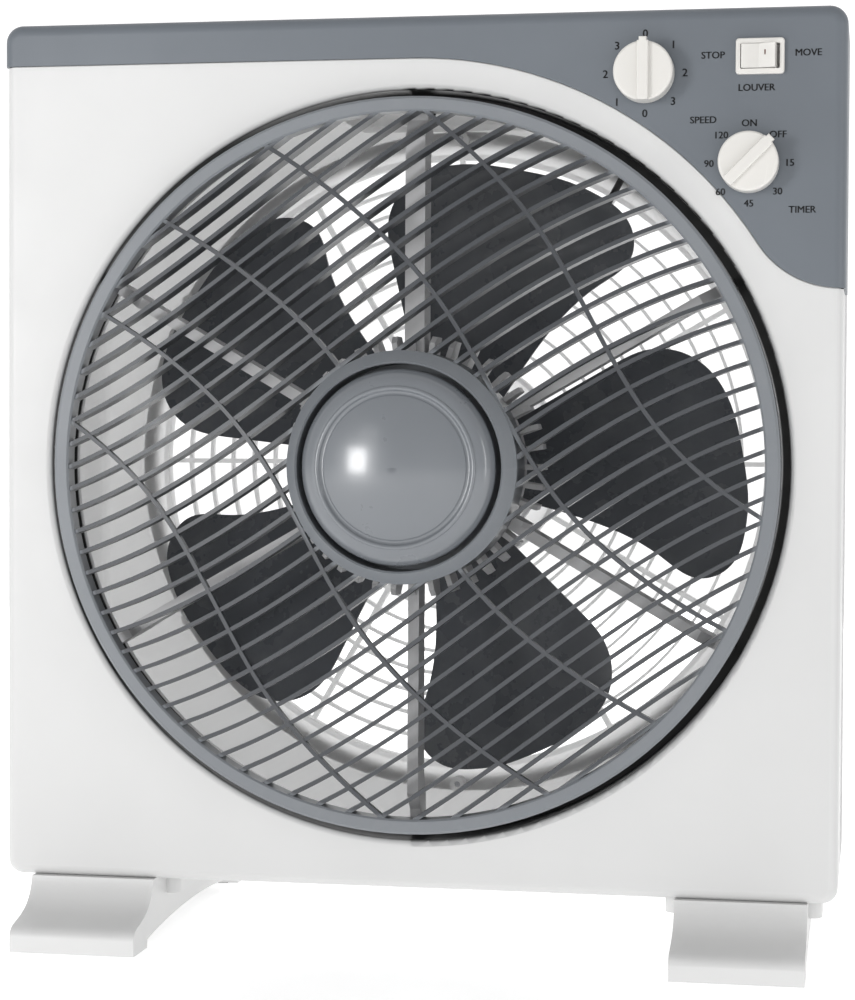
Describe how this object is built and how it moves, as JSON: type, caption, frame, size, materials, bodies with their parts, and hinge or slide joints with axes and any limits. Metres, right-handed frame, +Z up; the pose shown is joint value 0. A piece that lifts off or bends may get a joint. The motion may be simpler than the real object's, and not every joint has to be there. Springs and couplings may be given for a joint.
{
  "type": "box fan",
  "caption": "Box fan with a square casing on two feet, a round slatted louvre that turns in front of the blades, and dials and a rocker on a corner panel.",
  "frame": {"origin": "on the floor at the centre of the fan's overall box", "axes": "+Z up, the louvre faces -Y, controls at +X"},
  "size_m": [0.382, 0.217, 0.421],
  "materials": {
    "body_plastic": "satin moulded plastic",
    "panel_plastic": "satin slate overlay",
    "knob_plastic": "satin moulded plastic",
    "inner_plastic": "satin moulded plastic",
    "louvre_plastic": "satin moulded plastic",
    "cap_plastic": "glossy moulded plastic",
    "blade_plastic": "satin moulded plastic, slightly see-through",
    "zinc_steel": "zinc plated",
    "shaft_steel": "ground steel",
    "motor_shell": "pressed zinc-coated steel",
    "laminated_steel": "varnished laminations",
    "copper_wire": "enamelled copper wire",
    "bronze": "sintered bronze",
    "terminal_brass": "plain brass",
    "black_plastic": "moulded plastic",
    "lead_sheath": "flexible sheath",
    "black_rubber": "moulded rubber"
  },
  "bodies": {
    "casing": {"front_frame": "body_plastic", "rear_shell": "body_plastic", "left_foot": "body_plastic", "right_foot": "body_plastic", "spider": "inner_plastic", "rear_guard": "inner_plastic", "terminal_block": "inner_plastic", "control_panel": "panel_plastic", "case_screws": "zinc_steel", "spider_screws": "zinc_steel", "louvre_motor_screws": "zinc_steel", "motor_bolts": "zinc_steel", "motor_nuts": "zinc_steel", "motor_mount_screws": "zinc_steel", "rear_guard_screws": "zinc_steel", "timer_screws": "zinc_steel", "terminal_screws": "zinc_steel", "capacitor_screw": "zinc_steel", "foot_screws": "zinc_steel", "speed_nut": "zinc_steel", "louvre_motor_case": "motor_shell", "front_bell": "motor_shell", "rear_bell": "motor_shell", "stator": "laminated_steel", "windings": "copper_wire", "front_bearing": "bronze", "rear_bearing": "bronze", "speed_terminals": "terminal_brass", "rocker_terminals": "terminal_brass", "speed_switch": "black_plastic", "timer_case": "black_plastic", "capacitor": "black_plastic", "rocker_housing": "knob_plastic", "louvre_lead": "lead_sheath", "motor_lead": "lead_sheath", "switch_lead": "lead_sheath", "supply_lead": "lead_sheath", "capacitor_lead": "lead_sheath", "foot_pads": "black_rubber", "cord_bushing": "black_rubber"},
    "louvre": {"louvre_grille": "louvre_plastic", "louvre_cap": "cap_plastic", "louvre_screw": "zinc_steel", "louvre_motor_shaft": "shaft_steel"},
    "fan": {"impeller": "blade_plastic", "impeller_nut": "blade_plastic", "drive_pin": "zinc_steel", "motor_shaft": "shaft_steel", "rotor": "laminated_steel", "thrust_washers": "black_plastic"},
    "speed_control": {"speed_knob": "knob_plastic", "speed_spindle": "shaft_steel"},
    "timer_control": {"timer_knob": "knob_plastic", "timer_spindle": "shaft_steel"},
    "rocker_button": {"rocker": "knob_plastic"}
  },
  "joints": [
    {"name": "louvre_spin", "type": "hinge", "parent": "casing", "child": "louvre", "pos_m": [0, -0.0635, 0.22], "axis": [0, 1, 0], "continuous": true},
    {"name": "fan_spin", "type": "hinge", "parent": "casing", "child": "fan", "pos_m": [0, 0.0165, 0.22], "axis": [0, 1, 0], "continuous": true},
    {"name": "speed_knob_turn", "type": "hinge", "parent": "casing", "child": "speed_control", "pos_m": [0.1035, -0.0735, 0.3925], "axis": [0, 1, 0], "continuous": true},
    {"name": "timer_knob_turn", "type": "hinge", "parent": "casing", "child": "timer_control", "pos_m": [0.149, -0.0735, 0.3528], "axis": [0, 1, 0], "range_deg": [-45, 270]},
    {"name": "rocker_tilt", "type": "hinge", "parent": "casing", "child": "rocker_button", "pos_m": [0.1534, -0.064, 0.399], "axis": [0, 0, 1], "range_deg": [0, 18]}
  ]
}
